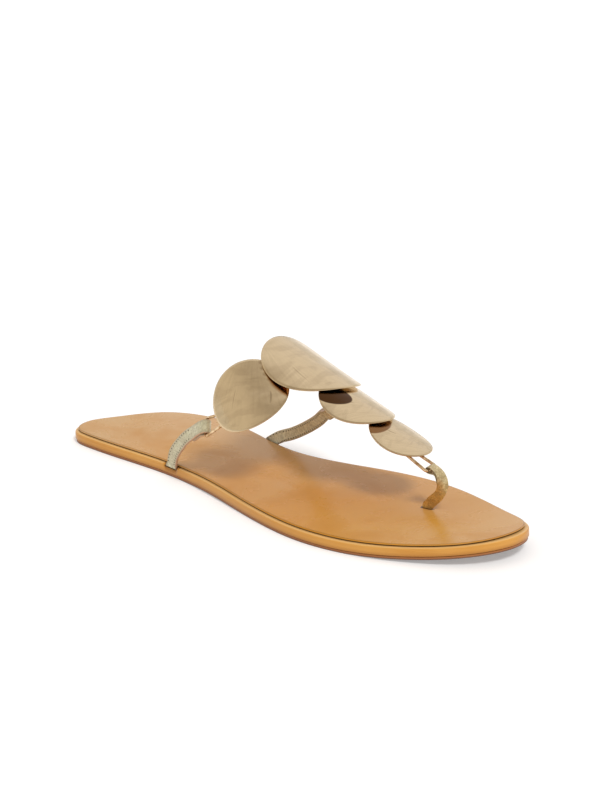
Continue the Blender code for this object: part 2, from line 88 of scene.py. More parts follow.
# Straps
SECTION_CORNERS = 8
STRAP_STEP = 0.0005
STRAP_ROUND = 0.00026
POCKET_GAP = 0.0003
POCKET_SIDE_GAP = 0.0006
POCKET_RISE = 0.0005
STITCH_START = 0.0125
LATERAL_STITCH_END = 0.040
MEDIAL_STITCH_END = 0.072
STITCH_LENGTH = 0.0011
STITCH_PITCH = 0.0019
STITCH_THICKNESS = 0.00036
STITCH_INSET = 0.0010
STITCH_SIDES = 8
PINHOLE = 0.00078
PINHOLE_DEPTH = 0.0002
PINHOLE_STRETCH = 0.1
PINHOLE_SIDES = 10
CAPSULE_RINGS = 3

# Metal
RIM_CREASE = 0.75
WIRE_SWELL = 0.00005
FLAT_ANGLE = math.radians(20.0)
SQUARE_ANGLE = math.radians(40.0)
SHARP_ANGLE = math.radians(50.0)
FAR_OFF = 9.0

# Discs. The pivot of the streaks' fan is in radii of the disc, forward and sideways. The oval that
# is painted with a dark reflection of the upper disc has its middle, half length and half width in the
# same measure.
# node, pivot, upper disc, (oval forward, oval sideways, half length, half width, darkness)
DISCS = (
    ("disc_lateral", (-0.2, 1.6), "disc_top", (1.35, 1.0, 1.14, 1.14, 0.1)),
    ("disc_top", (-0.4, 1.5), None, (FAR_OFF, FAR_OFF, 1.0, 1.0, 0.0)),
    ("disc_third", (-0.5, 1.5), "disc_top", (0.24, -0.60, 0.33, 0.53, 1.0)),
    ("disc_toe", (-0.6, 1.4), "disc_third", (0.20, -0.85, 0.68, 0.48, 0.5)),
)

# Floor: a flat round, then a curve up into a wall
FLOOR_MIDDLE = 3.0
FLOOR_FLAT = 5.0
FLOOR_CURVE = 1.5
FLOOR_WALL = 2.6
FLOOR_SIDES = 64
CURVE_STEPS = 8

# Light, as directions from the shoe
LAMP_TOWARD = (0.3, 0.85, 1.0)
LAMP_STRENGTH = 1.85
LAMP_DEGREES = 14.0
ROOM_COLOUR = (0.56, 0.515, 0.465, 1.0)
# toward, where it starts to show, where it is full, colour
ROOM_PATCHES = (
    ((-0.64, -0.72, 0.27), 0.34, 0.60, (0.97, 0.955, 0.98, 1.0)),
    ((0.55, -0.65, 0.50), 0.80, 1.0, (0.84, 0.79, 0.72, 1.0)),
)

# Camera
CAMERA_PLACE = (0.6878, 0.8048, 0.3629)
CAMERA_BACK = (0.62405, 0.72463, 0.29237)
CAMERA_LEVEL = (-0.75774, 0.65256, 0.0)
CAMERA_ROLL = math.radians(1.239)
CAMERA_LENS = 120.58
CAMERA_SENSOR = 36.0


# Reading the frame's solids

def unit(vector):
    return vector / np.linalg.norm(vector)


def welded(node):
    """A node's points and triangles, with points that coincide made one."""
    work = bmesh.new()
    work.from_mesh(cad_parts[node].data)
    bmesh.ops.remove_doubles(work, verts=work.verts, dist=WELD_DISTANCE)
    bmesh.ops.triangulate(work, faces=work.faces)
    work.normal_update()
    return work


def spline(places, values, wanted):
    """A natural cubic spline through the values at the places, read at the wanted places."""
    count = len(places)
    step = np.diff(places)
    system = np.eye(count)
    right = np.zeros(values.shape)
    slopes = np.diff(values, axis=0) / step[:, None]
    for i in range(1, count - 1):
        system[i, i - 1:i + 2] = (step[i - 1], 2.0 * (step[i - 1] + step[i]), step[i])
        right[i] = 6.0 * (slopes[i] - slopes[i - 1])
    bend = np.linalg.solve(system, right)
    i = np.clip(np.searchsorted(places, wanted, side="right") - 1, 0, count - 2)
    t = ((wanted - places[i]) / step[i])[:, None]
    a = 1.0 - t
    sag = (a ** 3 - a) * bend[i] + (t ** 3 - t) * bend[i + 1]
    return a * values[i] + t * values[i + 1] + sag * (step[i] ** 2)[:, None] / 6.0


def arc_places(points):
    return np.concatenate(((0.0,), np.cumsum(np.linalg.norm(np.diff(points, axis=0), axis=1))))


def closed_spline(points, count):
    """A smooth closed curve through the points, which runs on past its ends to close smoothly."""
    wrapped = np.vstack((points[-CLOSING_MARGIN:], points, points[:CLOSING_MARGIN + 1]))
    places = arc_places(wrapped)
    first = places[CLOSING_MARGIN]
    last = places[CLOSING_MARGIN + len(points)]
    wanted = np.linspace(first, last, count, endpoint=False)
    return spline(places, wrapped, wanted)


def read_sole():
    """The outsole's outline in plan, and how far its underside stands off the ground along it.

    The outline's points are those with a wall above them, which is shorter than the sole is thick.
    """
    work = welded("outsole")
    columns = {}
    for vert in work.verts:
        key = (round(vert.co.x, 5), round(vert.co.y, 5))
        columns.setdefault(key, []).append(vert.co.z)
    work.free()
    spans = {key: max(heights) - min(heights) for key, heights in columns.items()}
    tallest = max(spans.values())
    rows = {}
    for (x, y), span in spans.items():
        if WALL_SPAN[0] * tallest < span < WALL_SPAN[1] * tallest:
            rows.setdefault(y, []).append((x, y, min(columns[x, y])))
    outer = np.array([max(rows[y]) for y in sorted(rows)])
    inner = np.array([min(rows[y]) for y in sorted(rows) if len(rows[y]) > 1])
    loop = np.vstack((outer, inner[::-1]))[:, :2]
    return closed_spline(loop, OUTLINE_POINTS), outer[:, 1], outer[:, 2] - outer[:, 2].min()


OUTLINE, LIFT_PLACES, LIFTS = read_sole()
MIDSOLE_OUT = (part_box("midsole")[1].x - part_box("outsole")[1].x)
INSOLE_IN = (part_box("outsole")[1].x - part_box("insole")[1].x)


def lift(y):
    return float(np.interp(y, LIFT_PLACES, LIFTS))


def heel_heights(node):
    """A sole layer's lowest point, and its highest point in the heel's part of the sole."""
    work = welded(node)
    low = min(v.co.z for v in work.verts)
    top = max(v.co.z for v in work.verts if v.co.y < HEEL_SHARE * cad_low.y)
    work.free()
    return low, top


def flat_groups(work):
    """Faces grouped into flat patches."""
    left = set(work.faces)
    groups = []
    while left:
        group = {left.pop()}
        border = list(group)
        while border:
            face = border.pop()
            for edge in face.edges:
                for other in edge.link_faces:
                    if other in left and other.normal.dot(face.normal) > 1.0 - FLAT_TOLERANCE:
                        left.discard(other)
                        group.add(other)
                        border.append(other)
        groups.append(group)
    return groups


def strap_sections(node):
    """A CAD strip's sections in order from its hidden end, eight corners each.

    A walk starts at a flat patch of eight corners, and each next section is the eight nearest of
    the points that the last one's edges lead to. A patch that isn't an end face leads to sections
    of other sizes.
    """
    work = welded(node)
    walks = []
    for group in flat_groups(work):
        ring = {v for face in group for v in face.verts}
        if len(ring) != SECTION_CORNERS:
            continue
        unseen = set(work.verts) - ring
        rings = []
        while ring:
            rings.append(np.array([tuple(v.co) for v in ring]))
            near = {edge.other_vert(v) for v in ring for edge in v.link_edges} & unseen
            near = sorted(near, key=lambda v: min((v.co - w.co).length for w in ring))
            ring = set(near[:SECTION_CORNERS])
            unseen -= ring
        if all(len(ring) == SECTION_CORNERS for ring in rings):
            walks.append(rings)
    work.free()
    walk = walks[0]
    return walk if walk[0][:, 2].min() < walk[-1][:, 2].min() else walk[::-1]


class Strap:
    """A strap's middle line with its half-width and half-thickness vectors, finely resampled."""

    def __init__(self, node):
        middles = []
        halves = []
        outs = []
        last_aside = None
        # The first section's out vector is the one nearest to this, and each next one follows the
        # last. It suits a strap that starts lying flat, and not one that starts upright.
        last_out = np.array((0.3, 0.0, -1.0))
        for corners in strap_sections(node):
            middle = corners.mean(0)
            spread = np.linalg.svd(corners - middle)[2]
            aside = spread[0] * np.abs((corners - middle) @ spread[0]).max()
            out = spread[2]
            if abs(spread[1] @ last_out) > abs(out @ last_out):
                out = spread[1]
            out = out * np.abs((corners - middle) @ out).max()
            if last_aside is not None and aside @ last_aside < 0.0:
                aside = -aside
            if out @ last_out < 0.0:
                out = -out
            middles.append(middle)
            halves.append(aside)
            outs.append(out)
            last_aside = aside
            last_out = out
        coarse = arc_places(np.array(middles))
        self.places = np.linspace(0.0, coarse[-1], round(coarse[-1] / STRAP_STEP))
        self.middle = spline(coarse, np.array(middles), self.places)
        self.aside = spline(coarse, np.array(halves), self.places)
        self.out = spline(coarse, np.array(outs), self.places)

    def at(self, place, across, above):
        """A point at a place along the strap; across and above are in metres from the middle."""
        row = [np.array([np.interp(place, self.places, values[:, c]) for c in range(3)])
               for values in (self.middle, self.aside, self.out)]
        return row[0] + across * unit(row[1]) + above * unit(row[2])

    def half_width(self, place):
        return float(np.interp(place, self.places, np.linalg.norm(self.aside, axis=1)))

    def half_thickness(self, place):
        return float(np.interp(place, self.places, np.linalg.norm(self.out, axis=1)))


# Making pieces

def add_mesh(name, verts, faces, material):
    mesh = bpy.data.meshes.new(name)
    mesh.from_pydata([tuple(v) for v in verts], [], faces)
    work = bmesh.new()
    work.from_mesh(mesh)
    bmesh.ops.recalc_face_normals(work, faces=work.faces)
    work.to_mesh(mesh)
    work.free()
    piece = bpy.data.objects.new(name, mesh)
    scene.collection.objects.link(piece)
    if material is not None:
        mesh.materials.append(material)
    mesh.shade_smooth()
    mesh.set_sharp_from_angle(angle=SHARP_ANGLE)
    return piece


def add_values(piece, name, values):
    """A number for each point, which the materials read by name."""
    attribute = piece.data.attributes.new(name, "FLOAT", "POINT")
    attribute.data.foreach_set("value", np.asarray(values, np.float32))


def add_vectors(piece, name, values):
    attribute = piece.data.attributes.new(name, "FLOAT_VECTOR", "POINT")
    attribute.data.foreach_set("vector", np.asarray(values, np.float32).ravel())


def apply_modifiers(piece):
    """The mesh as its modifiers leave it, with no modifier left."""
    graph = bpy.context.evaluated_depsgraph_get()
    made = bpy.data.meshes.new_from_object(piece.evaluated_get(graph), depsgraph=graph)
    piece.modifiers.clear()
    piece.data = made


def level_rows(inset, height, toe_inset):
    """One level of a sole layer: outer and inner points at each station, from heel to toe."""
    along = np.roll(OUTLINE, -1, 0) - np.roll(OUTLINE, 1, 0)
    along /= np.linalg.norm(along, axis=1)[:, None]
    toe = np.clip((OUTLINE[:, 1] - TOE_START) / (cad_high.y - TOE_START), 0.0, 1.0)
    inward = inset + toe_inset * toe ** TOE_POWER
    curve = OUTLINE + inward[:, None] * np.stack((-along[:, 1], along[:, 0]), axis=1)
    curve = np.roll(curve, -int(np.argmin(curve[:, 1])), 0)
    tip = int(np.argmax(curve[:, 1]))
    outer = curve[:tip + 1]
    inner = np.vstack((curve[tip:], curve[:1]))[::-1]
    phase = np.linspace(0.0, math.pi, SOLE_STATIONS + 1)
    y = outer[0, 1] + (outer[-1, 1] - outer[0, 1]) * (1.0 - np.cos(phase)) / 2.0
    z = [height + lift(place) for place in y]
    outer_row = np.stack((np.interp(y, outer[:, 1], outer[:, 0]), y, z), axis=1)
    inner_row = np.stack((np.interp(y, inner[:, 1], inner[:, 0]), y, z), axis=1)
    return outer_row, inner_row


def sole_layer(name, node, inset, lower_round, upper_round, material, border=0.0, toe_inset=0.0):
    """A closed sole layer with rounded edges, in its node's place.

    Its points know how far up the wall they are, and whether they lie outside the top's last level.
    """
    low, top = heel_heights(node)
    levels = []
    angles = [0.5 * math.pi * k / ROUND_STEPS for k in range(ROUND_STEPS + 1)]
    for angle in angles:
        levels.append((inset + lower_round * (1.0 - math.sin(angle)),
                       low + lower_round * (1.0 - math.cos(angle))))
    for angle in angles:
        levels.append((inset + upper_round * (1.0 - math.cos(angle)),
                       top - upper_round * (1.0 - math.sin(angle))))
    if border:
        levels.append((inset + upper_round + border, top))
    verts = []
    wall = []
    faces = []
    loop = 2 * SOLE_STATIONS
    for level, (inward, height) in enumerate(levels):
        outer, inner = level_rows(inward, height, toe_inset)
        verts += list(outer) + list(inner[-2:0:-1])
        wall += [(height - low) / (top - low)] * loop
    inner_start = (len(levels) - 1) * loop
    for level in range(len(levels) - 1):
        for k in range(loop):
            nxt = (k + 1) % loop
            here = level * loop
            faces.append((here + k, here + nxt, here + loop + nxt, here + loop + k))
    for start, flip in ((0, True), ((len(levels) - 1) * loop, False)):
        rows = [[start]]
        for k in range(1, SOLE_STATIONS):
            right = start + k
            left = start + loop - k
            row = [right]
            for column in range(1, SOLE_COLUMNS):
                share = column / SOLE_COLUMNS
                row.append(len(verts))
                verts.append((1.0 - share) * verts[right] + share * verts[left])
                wall.append(0.0 if flip else 1.0)
            rows.append(row + [left])
        rows.append([start + SOLE_STATIONS])
        for k in range(SOLE_STATIONS):
            near, far = rows[k], rows[k + 1]
            for column in range(SOLE_COLUMNS):
                face = [near[min(column, len(near) - 1)], near[min(column + 1, len(near) - 1)],
                        far[min(column + 1, len(far) - 1)], far[min(column, len(far) - 1)]]
                face = list(dict.fromkeys(face))
                faces.append(tuple(face if flip else face[::-1]))
    piece = add_mesh(name, verts, faces, material)
    add_values(piece, "wall", wall)
    add_values(piece, "border", [1.0 if k < inner_start else 0.0 for k in range(len(verts))])
    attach(piece, "root")
    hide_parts(node)
    return piece


def strap_ring(strap, k, grow_aside, grow_out):
    """A rounded section of a strap at its k-th place, with across and above for each point."""
    width = np.linalg.norm(strap.aside[k]) + grow_aside
    thick = np.linalg.norm(strap.out[k]) + grow_out
    round_off = min(STRAP_ROUND, 0.45 * thick)
    aside = unit(strap.aside[k])
    out = unit(strap.out[k])
    places = []
    for quarter, (sa, so) in enumerate(((1, 1), (-1, 1), (-1, -1), (1, -1))):
        for step in range(4):
            angle = 0.5 * math.pi * (quarter + step / 3.0)
            places.append((sa * (width - round_off) + round_off * math.cos(angle),
                           so * (thick - round_off) + round_off * math.sin(angle)))
    # points across the two broad faces, so that they carry relief
    broad = []
    for i, (a, b) in enumerate(places):
        broad.append((a, b))
        if i in (3, 11):
            far = places[i + 1]
            broad += [(a + (far[0] - a) * share, b) for share in (0.25, 0.5, 0.75)]
    return [(strap.middle[k] + a * aside + b * out, a / width, b / thick) for a, b in broad]


def sweep(strap, rows, grow_aside=0.0, grow_out=0.0):
    """Points, faces and the points' across, above and along values for a strap's first rows."""
    verts = []
    across = []
    above = []
    along = []
    faces = []
    for k in range(rows):
        for point, a, b in strap_ring(strap, k, grow_aside, grow_out):
            verts.append(point)
            across.append(a)
            above.append(b)
            along.append(strap.places[k])
    size = len(verts) // rows
    for row in range(rows - 1):
        here = row * size
        for j in range(size):
            nxt = (j + 1) % size
            faces.append((here + j, here + nxt, here + size + nxt, here + size + j))
    faces.append(tuple(range(size)))
    faces.append(tuple(range(len(verts) - 1, len(verts) - size - 1, -1)))
    return verts, faces, across, above, along


def strap_piece(name, node, strap, material):
    verts, faces, across, above, along = sweep(strap, len(strap.places))
    piece = add_mesh(name, verts, faces, material)
    add_values(piece, "across", across)
    add_values(piece, "above", above)
    add_values(piece, "along", along)
    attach(piece, "root")
    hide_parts(node)
    return piece


def pocket(strap, pieces, top):
    """Cuts room for a strap's hidden end out of the sole's layers."""
    rows = next(k for k in range(len(strap.places)) if strap.middle[k][2] > top)
    verts, faces, *_ = sweep(strap, rows, POCKET_SIDE_GAP, POCKET_GAP)
    cutter = add_mesh("pocket_cutter", verts, faces, None)
    for piece in pieces:
        cut = piece.modifiers.new("pocket", "BOOLEAN")
        cut.operation = "DIFFERENCE"
        cut.solver = "EXACT"
        cut.object = cutter
        apply_modifiers(piece)
    bpy.data.objects.remove(cutter, do_unlink=True)


def capsule(start, end, radius, sides):
    """A rounded rod between two points."""
    rings = CAPSULE_RINGS
    axis = unit(end - start)
    side = unit(np.cross(axis, UP + 0.01 * axis[::-1]))
    other = np.cross(axis, side)
    verts = [start - radius * axis]
    for centre, sign in ((start, -1.0), (end, 1.0)):
        order = range(1, rings + 1) if sign < 0 else range(rings, 0, -1)
        for step in order:
            angle = 0.5 * math.pi * step / rings
            for k in range(sides):
                turn = 2.0 * math.pi * k / sides
                rim = math.cos(turn) * side + math.sin(turn) * other
                verts.append(centre + radius * (math.sin(angle) * rim + sign * math.cos(angle) * axis))
    verts.append(end + radius * axis)
    faces = [(0, 1 + (k + 1) % sides, 1 + k) for k in range(sides)]
    for row in range(2 * rings - 1):
        for k in range(sides):
            nxt = (k + 1) % sides
            here = 1 + row * sides
            faces.append((here + k, here + nxt, here + sides + nxt, here + sides + k))
    last = len(verts) - 1
    faces += [(last, last - sides + k, last - sides + (k + 1) % sides) for k in range(sides)]
    return verts, faces


def many(name, parts, material):
    """Several small shapes as one piece."""
    verts = []
    faces = []
    for part_verts, part_faces in parts:
        start = len(verts)
        verts += list(part_verts)
        faces += [tuple(start + i for i in face) for face in part_faces]
    piece = add_mesh(name, verts, faces, material)
    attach(piece, "root")
    return piece


def stitching(name, strap, start, end, thread, hole_shade):
    """Stitches along both edges of both faces of a strap, with dark domes at their pinholes as painted
    shade.
    """
    threads = []
    holes = []
    count = int((end - start) / STITCH_PITCH)
    for side in (-1.0, 1.0):
        for face in (-1.0, 1.0):
            for k in range(count):
                place = start + (k + 0.5) * STITCH_PITCH
                across = side * (strap.half_width(place) - STITCH_INSET)
                above = face * strap.half_thickness(place)
                near = strap.at(place - STITCH_LENGTH / 2.0, across, above)
                far = strap.at(place + STITCH_LENGTH / 2.0, across, above)
                threads.append(capsule(near, far, STITCH_THICKNESS / 2.0, STITCH_SIDES))
                gap = place + STITCH_PITCH / 2.0
                spot = strap.at(gap, across, face * strap.half_thickness(gap))
                low = strap.at(gap, across, face * (strap.half_thickness(gap) - PINHOLE_DEPTH))
                high = low + PINHOLE_STRETCH * (spot - low)
                holes.append(capsule(low, high, PINHOLE / 2.0, PINHOLE_SIDES))
    many(name + "_stitches", threads, thread)
    many(name + "_pinholes", holes, hole_shade)


def smooth_copy(name, node, levels, material, crease=0.0, swell=0.0):
    """A finer copy of a node, with its rim kept where it is creased."""
    work = welded(node)
    bmesh.ops.join_triangles(
        work, faces=work.faces, angle_face_threshold=FLAT_ANGLE, angle_shape_threshold=SQUARE_ANGLE)
    work.normal_update()
    if crease:
        layer = work.edges.layers.float.new("crease_edge")
        for edge in work.edges:
            if edge.calc_face_angle(0.0) > SHARP_ANGLE:
                edge[layer] = crease
    if swell:
        for vert in work.verts:
            vert.co += swell * vert.normal
    mesh = bpy.data.meshes.new(name)
    work.to_mesh(mesh)
    work.free()
    piece = bpy.data.objects.new(name, mesh)
    scene.collection.objects.link(piece)
    smooth = piece.modifiers.new("smooth", "SUBSURF")
    smooth.levels = levels
    smooth.render_levels = levels
    apply_modifiers(piece)
    piece.data.shade_smooth()
    piece.data.materials.clear()
    piece.data.materials.append(material)
    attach(piece, "root")
    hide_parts(node)
    return piece


def disc_piece(name, node, material, pivot, upper, painted_reflection):
    """A fine disc whose points know their place on its face and in a fan about a pivot beside it.

    Each point also knows how far the disc that laps over it is, which is 1 m if there is none; the
    material paints shade from it. Each point also knows its place in the oval that is painted with a
    dark reflection of that disc. The painted_reflection gives the oval's middle, its half lengths and
    how dark it is. Points on the underside are put far outside the oval.
    """
    piece = smooth_copy(name, node, 2, material, RIM_CREASE)
    mesh = piece.data
    points = np.array([v.co for v in mesh.vertices])
    normals = np.array([p.normal * p.area for p in mesh.polygons])
    broad = np.array([p.area for p in mesh.polygons])
    top = normals[:, 2] > 0.0
    facing = unit(normals[top].sum(0))
    upward = normals[top] / broad[top][:, None]
    straight = np.linalg.svd(upward - facing)[2]
    bend_axis = min(straight, key=lambda axis: np.abs(upward @ axis).sum())
    bend_axis = bend_axis * np.sign(bend_axis[1])
    aside = np.cross(facing, bend_axis)
    middle = points.mean(0)
    radius = np.abs((points - middle) @ bend_axis).max()
    forward = (points - middle) @ bend_axis / radius
    sideways = (points - middle) @ aside / radius
    fan_forward = forward - pivot[0]
    fan_aside = sideways - pivot[1]
    turn = np.arctan2(fan_aside, fan_forward)
    reach = np.hypot(fan_aside, fan_forward)
    zero = np.zeros(len(points))
    add_vectors(piece, "fan", np.stack((turn, reach, zero), axis=1))
    add_vectors(piece, "flat", np.stack((forward, sideways, zero), axis=1))
    under = np.array([v.normal for v in mesh.vertices]) @ facing < 0.0
    painted_reflection_forward = (forward - painted_reflection[0]) / painted_reflection[2] + FAR_OFF * under
    painted_reflection_sideways = (sideways - painted_reflection[1]) / painted_reflection[3]
    add_vectors(piece, "painted_reflection", np.stack((painted_reflection_forward, painted_reflection_sideways, zero + painted_reflection[4]), axis=1))
    lap = np.full(len(points), 1.0)
    if upper:
        work = welded(upper)
        over = np.array([v.co for v in work.verts])
        work.free()
        lap = np.array([np.sqrt(((over - point) ** 2).sum(1).min()) for point in points])
    add_values(piece, "lap", lap)
    return piece


# Materials

class Look:
    """A material that is built from procedural nodes; each call adds a node and returns its output."""

    def __init__(self, name, colour, roughness, metallic=0.0):
        self.material = bpy.data.materials.new(name)
        self.material.use_nodes = True
        self.nodes = self.material.node_tree.nodes
        self.links = self.material.node_tree.links
        self.shader = self.nodes["Principled BSDF"]
        self.set("Base Color", (*colour, 1.0))
        self.set("Roughness", roughness)
        self.set("Metallic", metallic)

    def set(self, socket, value):
        self.feed(self.shader, socket, value)

    def feed(self, node, socket, value):
        """Puts a constant or another node's output on a socket."""
        if hasattr(value, "is_linked"):
            self.links.new(value, node.inputs[socket])
        else:
            node.inputs[socket].default_value = value

    def place(self, stretch=(1.0, 1.0, 1.0), attribute=None):
        """Object coordinates, or a vector attribute, stretched."""
        if attribute:
            source = self.nodes.new("ShaderNodeAttribute")
            source.attribute_name = attribute
            vector = source.outputs["Vector"]
        else:
            vector = self.nodes.new("ShaderNodeTexCoord").outputs["Object"]
        mapping = self.nodes.new("ShaderNodeMapping")
        mapping.inputs["Scale"].default_value = stretch
        self.links.new(vector, mapping.inputs["Vector"])
        return mapping.outputs["Vector"]

    def value(self, attribute):
        source = self.nodes.new("ShaderNodeAttribute")
        source.attribute_name = attribute
        return source.outputs["Fac"]

    def part(self, vector, axis):
        """One coordinate of a vector."""
        node = self.nodes.new("ShaderNodeSeparateXYZ")
        self.links.new(vector, node.inputs["Vector"])
        return node.outputs[axis]

    def length(self, vector):
        node = self.nodes.new("ShaderNodeVectorMath")
        node.operation = "LENGTH"
        self.links.new(vector, node.inputs[0])
        return node.outputs["Value"]

    def noise(self, vector, scale, detail=3.0, roughness=0.5, distortion=0.0):
        node = self.nodes.new("ShaderNodeTexNoise")
        self.links.new(vector, node.inputs["Vector"])
        node.inputs["Scale"].default_value = scale
        node.inputs["Detail"].default_value = detail
        node.inputs["Roughness"].default_value = roughness
        node.inputs["Distortion"].default_value = distortion
        return node.outputs["Fac"]

    def cells(self, vector, scale):
        """A random colour for each cell."""
        node = self.nodes.new("ShaderNodeTexVoronoi")
        self.links.new(vector, node.inputs["Vector"])
        node.inputs["Scale"].default_value = scale
        return node.outputs["Color"]

    def remap(self, value, low, high, to_low=0.0, to_high=1.0):
        node = self.nodes.new("ShaderNodeMapRange")
        self.feed(node, "Value", value)
        node.inputs["From Min"].default_value = low
        node.inputs["From Max"].default_value = high
        node.inputs["To Min"].default_value = to_low
        node.inputs["To Max"].default_value = to_high
        return node.outputs["Result"]

    def math(self, operation, first, second=0.0):
        node = self.nodes.new("ShaderNodeMath")
        node.operation = operation
        self.feed(node, 0, first)
        self.feed(node, 1, second)
        return node.outputs["Value"]

    def mix(self, share, first, second):
        """A colour between two colours."""
        node = self.nodes.new("ShaderNodeMix")
        node.data_type = "RGBA"
        self.feed(node, 0, share)
        for socket, colour in ((6, first), (7, second)):
            self.feed(node, socket, (*colour, 1.0) if isinstance(colour, tuple) else colour)
        return node.outputs[2]

    def bump(self, height, distance, strength=1.0, below=None):
        node = self.nodes.new("ShaderNodeBump")
        self.links.new(height, node.inputs["Height"])
        node.inputs["Distance"].default_value = distance
        node.inputs["Strength"].default_value = strength
        if below is not None:
            self.links.new(below, node.inputs["Normal"])
        self.links.new(node.outputs["Normal"], self.shader.inputs["Normal"])
        return node.outputs["Normal"]


def insole_look():
    """Polished tan leather: pale heel, deep orange ball, dark-painted cut edge, painted sheen on the
    inner side.
    """
    look = Look("insole_leather", (0.55, 0.28, 0.08), 0.3)
    place = look.place()
    drift = look.remap(look.noise(place, 16.0, 3.0, 0.55), 0.3, 0.7, -0.022, 0.022)
    forward = look.math("ADD", look.part(place, "Y"), drift)
    tone = look.mix(look.remap(forward, -0.115, -0.045), (0.545, 0.335, 0.140), (0.56, 0.290, 0.080))
    tone = look.mix(look.remap(forward, -0.030, 0.020), tone, (0.545, 0.232, 0.018))
    tone = look.mix(look.remap(forward, 0.045, 0.085), tone, (0.545, 0.258, 0.034))
    tone = look.mix(look.remap(forward, 0.090, 0.115), tone, (0.55, 0.282, 0.060))
    cloud = look.remap(look.noise(place, 42.0, 4.0, 0.6, 0.4), 0.42, 0.68)
    tone = look.mix(look.math("MULTIPLY", cloud, 0.45), tone, (0.46, 0.185, 0.016))
    grain = look.remap(look.noise(place, 900.0, 4.0, 0.6), 0.35, 0.65)
    leather = look.mix(look.math("MULTIPLY", grain, 0.10), tone, (0.34, 0.15, 0.04))
    # Painted sheen: the leather is painted paler toward the inner side.
    aside = look.math("ADD", look.part(place, "X"), drift)
    leather = look.mix(look.remap(aside, 0.004, -0.030, 0.0, 0.5), leather, (0.56, 0.34, 0.165))
    border = look.remap(look.value("border"), 0.12, 0.55, 0.0, 0.5)
    border = look.math("MULTIPLY", border, look.remap(look.value("wall"), 0.75, 0.97))
    leather = look.mix(border, leather, (0.16, 0.060, 0.018))
    painted = look.remap(look.value("wall"), PAINTED_SHARE, PAINTED_SHARE + 0.12, 1.0, 0.0)
    look.set("Base Color", look.mix(painted, leather, (0.085, 0.030, 0.010)))
    look.set("Roughness", look.remap(cloud, 0.0, 1.0, 0.24, 0.36))
    look.set("Specular IOR Level", 0.12)
    wave = look.bump(look.noise(place, 60.0, 2.0), 0.0002, 0.3)
    look.bump(look.noise(place, 1600.0, 3.0, 0.6), 0.00003, 0.4, wave)
    return look.material


def midsole_look():
    """The thick board's burnished edge: faint streaks along it, a painted ledge highlight, painted
    shade at its foot.
    """
    look = Look("midsole_leather", (0.60, 0.29, 0.07), 0.36)
    place = look.place()
    streak = look.remap(look.noise(look.place((9.0, 9.0, 900.0)), 1.0, 4.0, 0.6), 0.3, 0.7)
    cloud = look.remap(look.noise(place, 38.0, 3.0), 0.35, 0.65)
    tone = look.mix(streak, (0.60, 0.285, 0.055), (0.50, 0.212, 0.032))
    tone = look.mix(look.math("MULTIPLY", cloud, 0.5), tone, (0.62, 0.32, 0.075))
    # Painted shade: the lower half of the wall is painted browner and darker toward its foot.
    low = look.remap(look.value("wall"), 0.05, 0.45, 0.75, 0.0)
    tone = look.mix(low, tone, (0.36, 0.145, 0.030))
    # Painted highlight: the top of the wall, at the ledge, is painted paler.
    ledge_highlight = look.remap(look.value("wall"), 0.86, 0.97, 0.0, 0.7)
    look.set("Base Color", look.mix(ledge_highlight, tone, (0.68, 0.43, 0.17)))
    look.set("Roughness", look.remap(streak, 0.0, 1.0, 0.30, 0.42))
    look.set("Specular IOR Level", 0.25)
    look.bump(streak, 0.00008, 0.5)
    return look.material


def outsole_look():
    """Brown leather with its cut edge stained reddish, dull and lightly scuffed below."""
    look = Look("outsole_leather", (0.10, 0.04, 0.02), 0.6)
    place = look.place()
    scuff = look.remap(look.noise(place, 70.0, 5.0, 0.65), 0.45, 0.8)
    below = look.mix(scuff, (0.10, 0.042, 0.022), (0.17, 0.08, 0.042))
    edge = look.remap(look.value("wall"), 0.12, 0.75)
    look.set("Base Color", look.mix(edge, below, (0.36, 0.13, 0.030)))
    look.set("Roughness", look.remap(scuff, 0.0, 1.0, 0.5, 0.7))
    look.bump(look.noise(place, 1200.0, 4.0, 0.6), 0.00006, 0.5)
    return look.material


def foil(look):
    """The flakes of foiled leather, how bright each one is, and the crackle between them."""
    place = look.place()
    flakes = look.cells(place, 1700.0)
    spark = look.remap(flakes, 0.2, 0.8)
    crackle = look.remap(look.noise(place, 420.0, 5.0, 0.7), 0.42, 0.62)
    return flakes, spark, crackle


def strap_look(name, low, high, crackled):
    """Pale gold foiled leather with a fine crackle, tan where it is cut, and painted shade toward its
    sides.
    """
    look = Look(name, high, 0.4, 0.6)
    flakes, spark, crackle = foil(look)
    gold = look.mix(spark, low, high)
    gold = look.mix(look.math("MULTIPLY", crackle, crackled), gold, (0.33, 0.27, 0.165))
    edge = look.math("ABSOLUTE", look.value("across"))
    # Painted shade: darker toward both sides, as on a padded, rounded strap.
    gold = look.mix(look.remap(edge, 0.55, 0.92, 0.0, 0.5), gold, (0.36, 0.28, 0.165))
    cut = look.remap(edge, 0.955, 0.985)
    look.set("Base Color", look.mix(cut, gold, (0.52, 0.31, 0.19)))
    look.set("Metallic", look.remap(cut, 0.0, 1.0, 0.4, 0.0))
    look.set("Roughness", look.remap(spark, 0.0, 1.0, 0.46, 0.28))
    fine = look.bump(flakes, 0.00004, 0.5)
    look.bump(crackle, 0.00012, 0.5, fine)
    return look.material


def post_look():
    """The toe post: pale gold leather above, warm brown where the skin has rubbed it below."""
    look = Look("post_leather", (0.55, 0.42, 0.24), 0.4, 0.5)
    flakes, spark, crackle = foil(look)
    gold = look.mix(spark, (0.50, 0.40, 0.21), (0.74, 0.62, 0.36))
    brown = look.mix(spark, (0.50, 0.27, 0.055), (0.70, 0.43, 0.13))
    worn = look.remap(look.value("along"), 0.0125, 0.0185, 1.0, 0.0)
    tone = look.mix(worn, gold, brown)
    look.set("Base Color", look.mix(look.math("MULTIPLY", crackle, 0.4), tone, (0.25, 0.15, 0.06)))
    look.set("Roughness", look.remap(spark, 0.0, 1.0, 0.44, 0.27))
    fine = look.bump(flakes, 0.00004, 0.5)
    look.bump(crackle, 0.00010, 0.5, fine)
    return look.material


